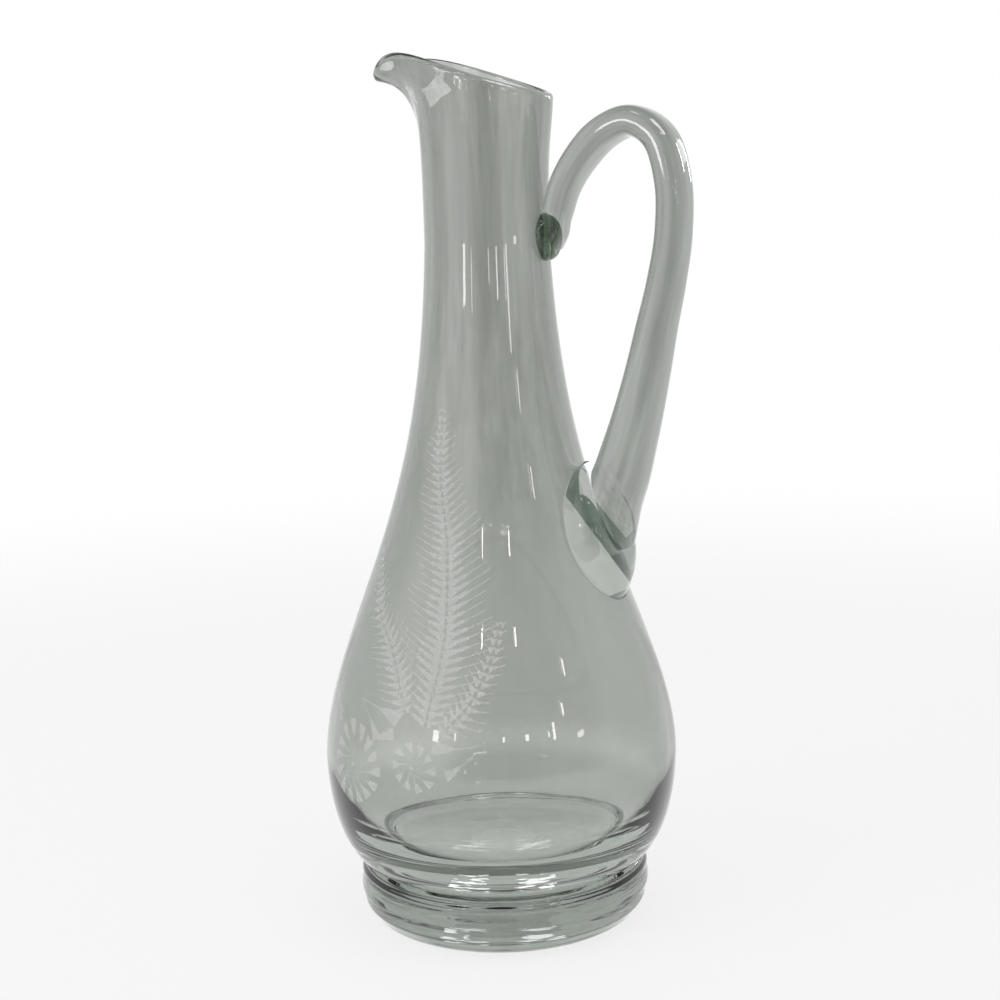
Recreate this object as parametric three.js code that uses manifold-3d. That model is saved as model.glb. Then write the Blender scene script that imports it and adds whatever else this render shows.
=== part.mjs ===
// Long neck carafe of soda glass, in millimetres with +Z up.
// The axis of the blown body is the Z axis and Z = 0 is the table.
// The handle lies on the +X side and the pouring lip on the -X side.
// It is made as a glassmaker makes it: one blown body, a foot cast on below it, and a strap
// handle drawn from a pad on the shoulder up to a small seal on the neck.

import * as THREE from 'three';
import { mergeVertices } from 'three/addons/utils/BufferGeometryUtils.js';
import Module from 'manifold-3d';

const wasm = await Module();
wasm.setup();

// Foot
const foot_height = 19.4;
const foot_radius = 48;
const foot_roll_height = 11;
const foot_contact_radius = 40;
const foot_shoulder_power = 3;
const ellipse_power = 2;

// Blown body, with its heights counted up from the top of the foot
const bowl_seat_radius = 43;
const base_thickness = 5.5;
const floor_radius = 34;
const belly_radius = 58;
const belly_rise = 36;
const shoulder_length = 82;
const shoulder_power = 1.76;
const neck_radius = 18.6;
const wall = 2.8;

// Mouth, with its heights counted up from the belly
const mouth_start_rise = 165;
const rim_back_rise = 208.4;
const rim_tilt_rise = 14;
const rim_radius = 22.1;
const rim_thickness = 3.4;
const rim_bead_power = 6;
const rim_flare_angle = 4;
const lip_reach = 14.6;
const lip_half_angle = 28;
const lip_power = 1.6;
const lip_turn_angle = 76;
const lip_turn_length = 14;
const lip_drop = 5.6;
const lip_drop_angle = 14;

// Handle strap, widest at its root and thinnest at its snipped tail, its top counted up from
// the belly
const handle_reach = 62.8;
const handle_top_rise = 200;
const strap_width = 16.5;
const strap_thickness = 9.6;
const root_width = 28;
const root_thickness = 20.5;
const tail_width = 13;
const tail_thickness = 7.5;
const tail_cap_length = 2;
const strap_power = 3;
const root_power = 2.2;
const strap_growth_power = 2;

// Lower pad on the shoulder and upper seal on the neck, both counted up from the belly
const pad_rise = 72.4;
const pad_length = 43.5;
const pad_width = 32.5;
const pad_thickness = 7.5;
const pad_lean = 5;
const root_offset = 8.5;
const seal_rise = 166;
const seal_length = 15;
const seal_width = 11.5;
const seal_thickness = 4;

// Clearance that a curved seat keeps, and how far a cutting tool overruns the glass
const seat_gap = 0.3;
const cut_overrun = 30;

// Shares of the sizes above
const spout_bias_share = 0.4;
const mouth_pull_share = 0.72;
const dab_flat_share = 0.68;
const tail_cap_shares = [0.9, 0.6];
const strap_full_share = 0.22;
const strap_growth_start_share = 0.4;

// Handle path: [share from the neck out to the reach, share from the seal up to the top]
const arch_shares = [
  [0.037, -0.056], [0.080, 0.047], [0.094, 0.150], [0.115, 0.238], [0.174, 0.454],
  [0.290, 0.680], [0.480, 0.910], [0.694, 1.000],
];
// and down the arm: [share from the root out to the reach, share from the root up to the top]
const arm_shares = [
  [0.790, 0.957], [0.980, 0.845], [0.980, 0.710], [0.865, 0.582], [0.715, 0.464],
  [0.572, 0.346], [0.420, 0.236], [0.280, 0.147], [0.160, 0.075], [0.000, 0.000],
  [-0.156, -0.094],
];

// Counts of facets
const around = 52;
const foot_around = 60;
const cutter_around = 104;
const bowl_steps = 7;
const shoulder_steps = 14;
const mouth_steps = 9;
const rim_steps = 4;
const strap_sides = 24;
const strap_steps = 46;
const puck_around = 36;

// Places worked out from the sizes
const belly_height = foot_height + belly_rise;
const floor_height = foot_height + base_thickness;
const mouth_start = belly_height + mouth_start_rise;
const rim_back_height = belly_height + rim_back_rise;
const handle_top = belly_height + handle_top_rise;
const pad_height = belly_height + pad_rise;
const seal_height = belly_height + seal_rise;

const radians = THREE.MathUtils.degToRad;
const steps = (count) => Array.from({ length: count + 1 }, (_, i) => i / count);

// A quarter of a superellipse about (x, y), from the end of its y radius to that of its x radius
function quarter(x, y, radius_x, radius_y, power, count) {
  return steps(count).map((share) => {
    const turn = share * Math.PI / 2;
    const across = Math.sin(turn) ** (2 / power);
    const up = Math.cos(turn) ** (2 / power);
    return new THREE.Vector2(x + radius_x * across, y + radius_y * up);
  });
}

// Outer radius of the body at a height: an elliptic bowl under a bell-shaped shoulder and neck
function outer_radius(height) {
  if (height < belly_height) {
    const down = Math.min((belly_height - height) / belly_rise, 1);
    return bowl_seat_radius + (belly_radius - bowl_seat_radius) * Math.sqrt(1 - down * down);
  }
  const rise = (height - belly_height) / shoulder_length;
  return neck_radius + (belly_radius - neck_radius) * Math.exp(-(rise ** shoulder_power));
}

// A closed skin through rings of points, with a point at each end
function closed_skin(start, rings, end) {
  const sides = rings[0].length;
  const points = [start, ...rings.flat(), end];
  const faces = [];
  const vertex = (ring, side) => 1 + ring * sides + (side % sides);
  for (let side = 0; side < sides; side += 1) {
    faces.push(0, vertex(0, side + 1), vertex(0, side));
    for (let ring = 0; ring + 1 < rings.length; ring += 1) {
      faces.push(vertex(ring, side), vertex(ring, side + 1), vertex(ring + 1, side + 1));
      faces.push(vertex(ring, side), vertex(ring + 1, side + 1), vertex(ring + 1, side));
    }
    const last = rings.length - 1;
    faces.push(points.length - 1, vertex(last, side), vertex(last, side + 1));
  }
  const geometry = new THREE.BufferGeometry();
  geometry.setAttribute('position', new THREE.Float32BufferAttribute(
    points.flatMap((point) => point.toArray()), 3));
  geometry.setIndex(faces);
  return geometry;
}

function to_solid(geometry) {
  const bare = geometry.clone();
  bare.deleteAttribute('normal');
  bare.deleteAttribute('uv');
  const merged = mergeVertices(bare);
  return new wasm.Manifold(new wasm.Mesh({
    numProp: 3,
    vertProperties: new Float32Array(merged.attributes.position.array),
    triVerts: new Uint32Array(merged.index.array),
  }));
}

function to_geometry(solid) {
  const mesh = solid.getMesh();
  const geometry = new THREE.BufferGeometry();
  geometry.setAttribute('position', new THREE.BufferAttribute(mesh.vertProperties, 3));
  geometry.setIndex(new THREE.BufferAttribute(mesh.triVerts, 1));
  return geometry;
}

// LatheGeometry turns about Y, so its axis is stood up along Z
function turned(profile, count) {
  return new THREE.LatheGeometry(profile, count).rotateX(Math.PI / 2);
}

// Angles round the body from the lip, closer together where the lip turns out
const angles = steps(around).slice(0, around).map((share) => {
  const even = share * 2 * Math.PI;
  return even - spout_bias_share * Math.sin(even);
});
const from_lip = (angle) => Math.abs(angle > Math.PI ? angle - 2 * Math.PI : angle);

function round_ring(radius, height) {
  return angles.map((angle) => new THREE.Vector3(
    -radius * Math.cos(angle), -radius * Math.sin(angle), height));
}

// Wall of the mouth in the plane at one angle: a Bezier line from the neck to the rim.
// It gives the outside of the glass and the unit normal there.
function mouth_line(angle, share) {
  const off = from_lip(angle);
  const beak = Math.exp(-((off / radians(lip_half_angle)) ** lip_power));
  const drop = lip_drop * Math.exp(-((off / radians(lip_drop_angle)) ** 2));
  const tilt = rim_tilt_rise * (1 + Math.cos(off)) / 2;
  const lean = radians(rim_flare_angle + lip_turn_angle * beak);
  const foot = new THREE.Vector2(outer_radius(mouth_start), mouth_start);
  const rim = new THREE.Vector2(rim_radius + lip_reach * beak, rim_back_height + tilt - drop);
  const pull = new THREE.Vector2(foot.x, foot.y + (rim.y - foot.y) * mouth_pull_share);
  const turn = new THREE.Vector2(Math.sin(lean), Math.cos(lean)).multiplyScalar(-lip_turn_length);
  const line = new THREE.CubicBezierCurve(foot, pull, rim.clone().add(turn), rim);
  const along = line.getTangent(share);
  return { point: line.getPoint(share), normal: new THREE.Vector2(along.y, -along.x) };
}

function mouth_ring(share, depth_share) {
  const thickness = wall + (rim_thickness - wall) * share ** rim_bead_power;
  return angles.map((angle) => {
    const { point, normal } = mouth_line(angle, share);
    const at = point.addScaledVector(normal, -thickness * depth_share);
    return new THREE.Vector3(-at.x * Math.cos(angle), -at.x * Math.sin(angle), at.y);
  });
}

// The rim is a half round from the outside of the wall to its inside
function rim_ring(turn) {
  return angles.map((angle) => {
    const { point, normal } = mouth_line(angle, 1);
    const along = new THREE.Vector2(-normal.y, normal.x);
    const at = point.addScaledVector(normal, -rim_thickness * (1 - Math.cos(turn)) / 2);
    at.addScaledVector(along, rim_thickness * Math.sin(turn) / 2);
    return new THREE.Vector3(-at.x * Math.cos(angle), -at.x * Math.sin(angle), at.y);
  });
}

function blown_body() {
  const bowl = quarter(bowl_seat_radius, belly_height, belly_radius - bowl_seat_radius,
    -belly_rise, ellipse_power, bowl_steps);
  const cavity = quarter(floor_radius, belly_height, belly_radius - wall - floor_radius,
    floor_height - belly_height, ellipse_power, bowl_steps);
  const shoulder = steps(shoulder_steps).slice(1, -1)
    .map((share) => belly_height + share * (mouth_start - belly_height));
  const rings = [
    ...bowl.map((point) => round_ring(point.x, point.y)),
    ...shoulder.map((height) => round_ring(outer_radius(height), height)),
    ...steps(mouth_steps).map((share) => mouth_ring(share, 0)),
    ...steps(rim_steps).slice(1, -1).map((share) => rim_ring(share * Math.PI)),
    ...steps(mouth_steps).reverse().map((share) => mouth_ring(share, 1)),
    ...shoulder.reverse().map((height) => round_ring(outer_radius(height) - wall, height)),
    ...cavity.reverse().map((point) => round_ring(point.x, point.y)),
  ];
  return closed_skin(new THREE.Vector3(0, 0, foot_height), rings,
    new THREE.Vector3(0, 0, floor_height));
}

function foot() {
  const roll = quarter(foot_contact_radius, foot_roll_height,
    foot_radius - foot_contact_radius, -foot_roll_height, ellipse_power, bowl_steps);
  const top = quarter(bowl_seat_radius, foot_roll_height, foot_radius - bowl_seat_radius,
    foot_height - foot_roll_height, foot_shoulder_power, bowl_steps).reverse().slice(1);
  const ground = new THREE.Vector2(0, 0);
  const centre = new THREE.Vector2(0, foot_height);
  return turned([ground, ...roll, ...top, centre], foot_around);
}

// The outside of the body grown by the seat gap, which shapes the back of what sits on it
function body_cutter() {
  const shoulder = steps(2 * shoulder_steps).slice(0, -1).map((share) => {
    const height = belly_height + share * (mouth_start - belly_height);
    return new THREE.Vector2(outer_radius(height), height);
  });
  const mouth_back = steps(mouth_steps).map((share) => mouth_line(Math.PI, share).point);
  const outline = [...shoulder, ...mouth_back]
    .map((point) => new THREE.Vector2(point.x + seat_gap, point.y));
  const closed = [new THREE.Vector2(0, belly_height), ...outline,
    new THREE.Vector2(0, rim_back_height)];
  return to_solid(turned(closed, cutter_around));
}

// Where a piece sits on the body: the point, the way out and the way up along the glass
function seat_on_body(height) {
  const slope = (outer_radius(height + seat_gap) - outer_radius(height - seat_gap))
    / (2 * seat_gap);
  const out = new THREE.Vector3(1, 0, -slope).normalize();
  const up = new THREE.Vector3(slope, 0, 1).normalize();
  return { point: new THREE.Vector3(outer_radius(height), 0, height), out, up };
}

// A pressed dab of glass: an oval with a flat face and rounded sides that lean towards it
function dab(seat, length, width, thickness, lean, cutter) {
  const sink = width * width / (4 * seat.point.x) + seat_gap;
  const shoulder = quarter(dab_flat_share, 0, 1 - dab_flat_share, 1, ellipse_power, bowl_steps);
  const profile = [new THREE.Vector2(0, -1), new THREE.Vector2(1, -1),
    ...shoulder.reverse(), new THREE.Vector2(0, 1)];
  const puck = turned(profile, puck_around);
  const place = puck.attributes.position;
  const at = new THREE.Vector3();
  const side = new THREE.Vector3(0, 1, 0);
  for (let i = 0; i < place.count; i += 1) {
    at.fromBufferAttribute(place, i);
    const high = at.z > 0 ? at.z * thickness : at.z * sink;
    const shift = at.z > 0 ? at.z * lean : 0;
    const spot = seat.point.clone()
      .addScaledVector(seat.up, at.x * length / 2 + shift)
      .addScaledVector(side, -at.y * width / 2)
      .addScaledVector(seat.out, high);
    place.setXYZ(i, spot.x, spot.y, spot.z);
  }
  return to_geometry(to_solid(puck).subtract(cutter));
}

function strap_size(share) {
  const full = THREE.MathUtils.smoothstep(share, 0, strap_full_share);
  const growth = Math.max((share - strap_growth_start_share) / (1 - strap_growth_start_share), 0)
    ** strap_growth_power;
  return {
    width: tail_width + (strap_width - tail_width) * full + (root_width - strap_width) * growth,
    thickness: tail_thickness + (strap_thickness - tail_thickness) * full
      + (root_thickness - strap_thickness) * growth,
    power: strap_power + (root_power - strap_power) * growth,
  };
}

function strap_path(pad_seat, seal_seat) {
  const root = pad_seat.point.clone()
    .addScaledVector(pad_seat.out, pad_thickness)
    .addScaledVector(pad_seat.up, root_offset);
  const on_arch = ([across, up]) => new THREE.Vector3(
    seal_seat.point.x + across * (handle_reach - seal_seat.point.x), 0,
    seal_height + up * (handle_top - seal_height));
  const on_arm = ([across, up]) => new THREE.Vector3(
    root.x + across * (handle_reach - root.x), 0, root.z + up * (handle_top - root.z));
  return new THREE.CatmullRomCurve3([...arch_shares.map(on_arch), ...arm_shares.map(on_arm)]);
}

function strap_ring(path, share, scale, shift) {
  const along = path.getTangentAt(share);
  const across = new THREE.Vector3(0, 1, 0);
  const out = new THREE.Vector3().crossVectors(along, across);
  const centre = path.getPointAt(share).addScaledVector(along, shift);
  const { width, thickness, power } = strap_size(share);
  return steps(strap_sides).slice(0, strap_sides).map((part) => {
    const turn = part * 2 * Math.PI;
    const side = Math.sign(Math.cos(turn)) * Math.abs(Math.cos(turn)) ** (2 / power);
    const rise = Math.sign(Math.sin(turn)) * Math.abs(Math.sin(turn)) ** (2 / power);
    return centre.clone()
      .addScaledVector(across, scale * side * width / 2)
      .addScaledVector(out, scale * rise * thickness / 2);
  });
}

// A block that fills the glass side of a seat's flat face, with room for the gap
function seat_block(seat, thickness, length) {
  const size = 2 * cut_overrun;
  const block = new THREE.BoxGeometry(size, size, length);
  const frame = new THREE.Matrix4().makeBasis(seat.out, new THREE.Vector3(0, 1, 0),
    seat.up);
  const centre = seat.point.clone().addScaledVector(seat.out, thickness + seat_gap - size / 2);
  return to_solid(block.applyMatrix4(frame.setPosition(centre)));
}

function handle(pad_seat, seal_seat, cutter) {
  const path = strap_path(pad_seat, seal_seat);
  const cap = tail_cap_shares.map((turn) => strap_ring(path, 0, Math.cos(turn * Math.PI / 2),
    -tail_cap_length * Math.sin(turn * Math.PI / 2)));
  const rings = [...cap, ...steps(strap_steps).map((share) => strap_ring(path, share, 1, 0))];
  const tail = path.getPointAt(0).addScaledVector(path.getTangentAt(0), -tail_cap_length);
  const strap = to_solid(closed_skin(tail, rings, path.getPointAt(1)));
  const cut = strap
    .subtract(seat_block(pad_seat, pad_thickness, pad_length + 2 * cut_overrun))
    .subtract(seat_block(seal_seat, seal_thickness, seal_length + 2 * seat_gap))
    .subtract(cutter);
  return to_geometry(cut);
}

function part(name, geometry, color) {
  const material = new THREE.MeshStandardMaterial({ color, roughness: 0.06, metalness: 0 });
  const mesh = new THREE.Mesh(geometry, material);
  mesh.name = name;
  return mesh;
}

const clear_glass = 0xaab3ab;
const thick_glass = 0x8d9a92;
const cutter = body_cutter();
const pad_seat = seat_on_body(pad_height);
const seal_seat = seat_on_body(seal_height);

const group = new THREE.Group();
group.name = 'carafe';
group.add(
  part('blown_body', blown_body(), clear_glass),
  part('foot', foot(), thick_glass),
  part('handle', handle(pad_seat, seal_seat, cutter), clear_glass),
  part('handle_lower_pad',
    dab(pad_seat, pad_length, pad_width, pad_thickness, pad_lean, cutter), thick_glass),
  part('handle_upper_seal',
    dab(seal_seat, seal_length, seal_width, seal_thickness, 0, cutter), thick_glass),
);

export default group;
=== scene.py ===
"""Long neck carafe: its glass, its etched spray and the plain studio that shows it.

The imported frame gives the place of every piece. Sizes are in metres, +Z is up, the handle lies
towards +X and the pouring lip towards -X.
"""

import contextlib
import math

import bmesh
import bpy
import numpy as np
from mathutils import Matrix, Vector


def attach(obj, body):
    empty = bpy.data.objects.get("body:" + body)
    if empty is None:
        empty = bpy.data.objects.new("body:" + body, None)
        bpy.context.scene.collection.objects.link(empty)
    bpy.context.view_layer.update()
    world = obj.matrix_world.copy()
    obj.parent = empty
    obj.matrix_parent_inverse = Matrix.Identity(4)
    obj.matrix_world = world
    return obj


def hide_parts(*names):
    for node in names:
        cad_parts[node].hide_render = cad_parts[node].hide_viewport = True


bl_info = {
    "name": "Long neck carafe",
    "version": (1, 0, 0),
    "blender": (4, 5, 0),
    "location": "3D View > Sidebar > Carafe",
    "description": "Builds a hand-blown glass carafe with a strap handle and an etched spray",
    "category": "Add Mesh",
}

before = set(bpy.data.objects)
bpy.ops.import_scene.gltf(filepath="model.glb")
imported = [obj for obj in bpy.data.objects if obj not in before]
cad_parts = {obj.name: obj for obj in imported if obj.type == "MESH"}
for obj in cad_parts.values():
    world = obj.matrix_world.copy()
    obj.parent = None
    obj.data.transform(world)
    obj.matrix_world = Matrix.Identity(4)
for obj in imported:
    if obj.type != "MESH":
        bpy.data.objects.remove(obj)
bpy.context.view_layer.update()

SURFACE_IOR = 1.5
# The strap and the pads bend the view little and mirror with a coat, because their real glass is
# one with the glass behind it
LOW_IOR = 1.04
SURFACE_ROUGHNESS = 0.01
# How suddenly glass darkens towards its edge
EDGE_POWER = 2.2
# Scales of the finer waves and strands beside the slow waves, and of the smears of handling
FINE_WAVES, STRANDS, SMEARS = 3.7, 11.0, 55.0
# Air between the foot and the bowl, and the reach within which a place is on a plane
JOINT_GAP = 0.00001
ON_PLANE = 1e-6
# Doubles that are merged
SAME_PLACE = 1e-7
# Heights between which the cords of the neck come up, and between which the tints of the bowl,
# of its thick bottom and of its low edge fade in; the bowl's lighter low tint is painted light, for
# the pale floor that shows through the glass
CORD_HEIGHTS = (0.10, 0.20)
BOWL_FADE, BASE_FADE, EDGE_FADE = (0.036, 0.052), (0.032, 0.043), (0.034, 0.056)
# Edges of the wall's inside and of the seal; the seal's pale edge is a painted highlight
INNER_EDGE, SEAL_PAINTED_HIGHLIGHT = (0.7, 0.74, 0.71), (0.42, 0.48, 0.42)
# Scales of the frost's grain and of its clouds, and how much of it shows
FROST_GRAIN, FROST_CLOUD, FROST_SHOWN = 900.0, 60.0, (0.15, 0.24)

# Planes, as (normal, offset), between which the painted dark band of the root lies, a painted shade
# for the dark glass seen edge-on at the joint, and the side where the bowl stands behind it
BAND_TOP = ((-0.746, 0.407, -0.666), -0.1187)
ROOT_END = ((0.729, -0.140, -0.684), -0.0541)
BAND_FOOT = ((0.783, -0.430, 0.622), 0.1064)
ROOT_SIDE = ((-0.928, 0.427, -0.373), -0.0857)
BAND_BLUR = 0.0004
# Where the painted shade of the dark ends of the lower pad begins, from its middle up and down
# along the glass
PAD_TOP_SHADE, PAD_LOW_SHADE = 0.0168, 0.0188

# Middle of the strap: shares of its reach and of its rise, from the seal to the top, and from there
# to the root
ARCH_SHARES = [
    (0.037, -0.056), (0.080, 0.047), (0.094, 0.150), (0.115, 0.238), (0.174, 0.454),
    (0.290, 0.680), (0.480, 0.910), (0.694, 1.000),
]
ARM_SHARES = [
    (0.790, 0.957), (0.980, 0.845), (0.980, 0.710), (0.865, 0.582), (0.715, 0.464),
    (0.572, 0.346), (0.420, 0.236), (0.280, 0.147), (0.160, 0.075), (0.000, 0.000),
    (-0.156, -0.094),
]

# Ferns of the spray: (across, up) knots, length of a barb, its lean in degrees, and how the barbs
# fade to the tip, start at the root and grow from there
FERNS = (
    ([(0.001, 0.076), (0.004, 0.100), (0.001, 0.128), (-0.004, 0.150), (-0.005, 0.170)],
     0.0178, 76, (0.62, 0.45, 3.2)),
    ([(-0.006, 0.079), (-0.014, 0.096), (-0.024, 0.108), (-0.031, 0.126)],
     0.0115, 74, (0.6, 0.4, 4)),
    ([(0.006, 0.074), (0.014, 0.083), (0.019, 0.095), (0.021, 0.108)],
     0.0080, 74, (0.6, 0.4, 4)),
)
# Blossoms: across, up, radius and how many petals they lack
BLOSSOMS = ((-0.027, 0.061, 0.0125, 0), (-0.002, 0.064, 0.0075, 4))
# Leaves: across, up, turn and length
LEAVES = (
    (-0.008, 0.078, 2.6, 0.017), (-0.010, 0.074, 3.25, 0.014), (0.004, 0.070, -0.25, 0.014),
    (-0.016, 0.071, 1.95, 0.012), (0.009, 0.062, 0.35, 0.011), (-0.038, 0.072, 1.75, 0.011),
)
BERRIES, BERRY_SIZE = 9, 0.0017
BERRY_MIDDLE = (0.016, 0.068)


# Settings that a user would change

def length(name, description, default):
    return bpy.props.FloatProperty(
        name=name, description=description, default=default, unit="LENGTH", precision=5)


def angle(name, description, default):
    return bpy.props.FloatProperty(
        name=name, description=description, default=math.radians(default), subtype="ANGLE")


def plain(name, description, default):
    return bpy.props.FloatProperty(name=name, description=description, default=default)


def share(name, description, default):
    return bpy.props.FloatProperty(
        name=name, description=description, default=default, min=0, max=1, subtype="FACTOR")


def count(name, description, default):
    return bpy.props.IntProperty(name=name, description=description, default=default, min=3)


def colour(name, description, default):
    return bpy.props.FloatVectorProperty(
        name=name, description=description, default=default, min=0, max=1, subtype="COLOR")


class CarafeBody(bpy.types.PropertyGroup):
    base_height: length("Base height", "Where the bowl sits on the foot", 0.0194)
    floor_height: length("Floor height", "Inner floor of the bowl", 0.0249)
    floor_radius: length("Floor radius", "Radius of the flat inner floor", 0.034)
    seat_radius: length("Seat radius", "Radius of the bowl where it meets the foot", 0.043)
    belly_height: length("Belly height", "Height of the widest place", 0.0554)
    belly_radius: length("Belly radius", "Radius of the widest place", 0.0579)
    shoulder_length: length("Shoulder length", "How slowly the belly narrows", 0.082)
    shoulder_power: plain("Shoulder power", "How round the shoulder is", 1.76)
    neck_radius: length("Neck radius", "Radius that the neck narrows to", 0.0186)
    wall: length("Wall", "Thickness of the blown wall", 0.0028)
    mouth_start: length("Mouth start", "Height where the mouth begins", 0.2204)
    rim_back: length("Rim back", "Height of the rim above the handle", 0.26375)
    rim_tilt: length("Rim tilt", "Rise of the rim towards the lip", 0.014)
    rim_radius: length("Rim radius", "Radius of the round part of the rim", 0.0221)
    rim_thickness: length("Rim thickness", "Fire-polished bead at the rim", 0.0034)
    bead_power: plain("Bead power", "How suddenly the rim thickens", 6)
    flare: angle("Flare", "Outward lean of the rim", 4)
    lip_reach: length("Lip reach", "How far the lip stands out", 0.0146)
    lip_half_angle: angle("Lip half angle", "Half of the arc that the lip takes", 28)
    lip_power: plain("Lip power", "How steep the sides of the lip are", 1.6)
    lip_turn: angle("Lip turn", "How far the lip is bent over", 76)
    lip_turn_length: length("Lip turn length", "Length of the bend", 0.014)
    lip_drop: length("Lip drop", "How far the tip dips", 0.0056)
    lip_drop_angle: angle("Lip drop angle", "Half of the arc that dips", 14)
    pull: share("Pull", "Height share where the neck begins to open", 0.72)
    lip_bias: share("Lip bias", "How much closer the facets are at the lip", 0.4)
    around: count("Around", "Facets round the body", 160)
    bowl_steps: count("Bowl steps", "Facets up the lower bowl", 18)
    shoulder_steps: count("Shoulder steps", "Facets up the shoulder and neck", 60)
    mouth_steps: count("Mouth steps", "Facets up the mouth", 26)
    rim_steps: count("Rim steps", "Facets over the rim", 10)


class CarafeFoot(bpy.types.PropertyGroup):
    radius: length("Radius", "Widest radius of the foot", 0.048)
    contact_radius: length("Contact radius", "Radius that meets the table", 0.040)
    roll_height: length("Roll height", "Height of the widest place", 0.011)
    shoulder_power: plain("Shoulder power", "How square the upper edge is", 3)
    punty_radius: length("Punty radius", "Radius of the ground hollow below", 0.011)
    punty_depth: length("Punty depth", "Depth of the ground hollow below", 0.0001)
    rings: count("Rings", "Tooling rings round the side", 6)
    ring_depth: length("Ring depth", "Depth of the tooling rings", 0.0003)
    around: count("Around", "Facets round the foot", 160)
    steps: count("Steps", "Facets up the side", 96)


class CarafeHandle(bpy.types.PropertyGroup):
    reach: length("Reach", "How far the middle of the strap stands out", 0.0627)
    top: length("Top", "Height of the middle of the strap at its top", 0.2554)
    strap_width: length("Strap width", "Width where the fingers close", 0.0165)
    strap_thickness: length("Strap thickness", "Thickness where the fingers close", 0.0096)
    root_width: length("Root width", "Width where it is drawn from the pad", 0.028)
    root_thickness: length("Root thickness", "Thickness at the pad", 0.0205)
    tail_width: length("Tail width", "Width of the snipped end", 0.013)
    tail_thickness: length("Tail thickness", "Thickness of the snipped end", 0.0075)
    tail_cap: length("Tail cap", "Rounding of the snipped end", 0.002)
    ridge: length("Ridge", "Depth of the soft grooves along the strap", 0.00012)
    ridges: count("Ridges", "Soft grooves round the strap", 5)
    sides: count("Sides", "Facets round the strap", 80)
    steps: count("Steps", "Facets along the strap", 260)


class CarafePads(bpy.types.PropertyGroup):
    pad_height: length("Pad height", "Height of the lower pad", 0.1278)
    pad_length: length("Pad length", "Length of the lower pad", 0.0435)
    pad_width: length("Pad width", "Width of the lower pad", 0.0325)
    pad_thickness: length("Pad thickness", "Thickness of the lower pad", 0.0075)
    pad_lean: length("Pad lean", "How far its face is pulled up", 0.005)
    root_offset: length("Root offset", "How far above the pad's middle the strap starts", 0.0085)
    seal_height: length("Seal height", "Height of the upper seal", 0.2214)
    seal_length: length("Seal length", "Length of the upper seal", 0.015)
    seal_width: length("Seal width", "Width of the upper seal", 0.0115)
    seal_thickness: length("Seal thickness", "Thickness of the upper seal", 0.004)
    flat: share("Flat", "Share of a pad's radius that is flat", 0.68)
    gap: length("Gap", "Air left between a pad and the glass behind it", 0.0003)
    around: count("Around", "Facets round a pad", 96)
    steps: count("Steps", "Rings on a pad's face", 20)


class CarafeEtching(bpy.types.PropertyGroup):
    turn: angle("Turn", "Where the spray stands round the bowl, from the handle", -91)
    lift: length("Lift", "How far the frost stands off the glass", 0.00002)
    depth: length("Depth", "Thickness of the frost", 0.00003)
    barb_gap: length("Barb gap", "Distance between barbs along a frond", 0.0025)
    stem: length("Stem", "Half width of the clear line along a frond", 0.0004)
    petals: count("Petals", "Petals of a blossom", 14)


class CarafeGlass(bpy.types.PropertyGroup):
    clear: colour("Clear", "Tint of the blown wall", (0.335, 0.35, 0.325))
    # Painted light: the lighter tint low on the bowl stands in for the pale floor seen through the
    # glass
    bowl: colour("Bowl", "Tint of the wall low on the bowl", (0.53, 0.55, 0.515))
    base: colour("Base", "Tint of the thick wall at the bottom of the bowl", (0.34, 0.37, 0.335))
    inner: colour("Inner", "Tint of the inside of the wall", (0.96, 0.97, 0.96))
    thick: colour("Thick", "Tint of the foot", (0.28, 0.31, 0.28))
    drawn: colour("Drawn", "Tint of the strap handle", (0.34, 0.36, 0.335))
    pressed: colour("Pressed", "Tint of the lower pad", (0.94, 0.97, 0.94))
    root: colour("Root", "Tint of the strap's root, where it stands before the bowl",
                 (0.9, 0.93, 0.9))
    # Painted shade: the dark band and its darker copy where nothing stands behind it stand in for
    # the joint's edge-on glass
    band: colour("Band", "Dark band where the strap is drawn from its pad", (0.105, 0.155, 0.12))
    painted_band_no_bowl: colour("Thick band", "The same band where nothing is behind it",
                       (0.045, 0.073, 0.052))
    # Painted shade on the pad below the strap
    painted_pad_end_band: colour("End band", "The band on the pad below the strap", (0.008, 0.018, 0.010))
    seal: colour("Seal", "Tint of the upper seal", (0.05, 0.095, 0.048))
    edge: colour("Edge", "Tint where the glass is seen along its surface", (0.15, 0.19, 0.165))
    # Lighter behind the pad: partly the fused joint, where no surface of the bowl shows, and partly
    # painted light that the pad gathers
    fused_lit_under_pad: colour("Under pad", "Tint of the bowl behind the lower pad", (0.59, 0.62, 0.585))
    low_edge: colour("Low edge", "The same low on the bowl", (0.30, 0.35, 0.315))
    foot_edge: colour("Foot edge", "The same on the foot", (0.22, 0.27, 0.235))
    frost: colour("Frost", "Colour of the etched surface", (0.86, 0.88, 0.85))


class CarafeStage(bpy.types.PropertyGroup):
    distance: length("Distance", "From the axis of the carafe to the camera", 0.54)
    eye_height: length("Eye height", "Height of the camera", 0.222)
    aim_height: length("Aim height", "Height of the point that it looks at", 0.13734)
    azimuth: angle("Azimuth", "Camera's place round the carafe", 25)
    roll: angle("Roll", "Tilt of the camera to its side", 1.66)
    yaw: angle("Yaw", "Turn of the camera to its side", 0.189)
    lens: plain("Lens", "Focal length in millimetres", 60.52)
    floor_radius: length("Floor radius", "Radius of the floor", 1.1)


SETTINGS = {
    "carafe_body": CarafeBody,
    "carafe_foot": CarafeFoot,
    "carafe_handle": CarafeHandle,
    "carafe_pads": CarafePads,
    "carafe_etching": CarafeEtching,
    "carafe_glass": CarafeGlass,
    "carafe_stage": CarafeStage,
}


# Node trees, written as formulas

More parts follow.
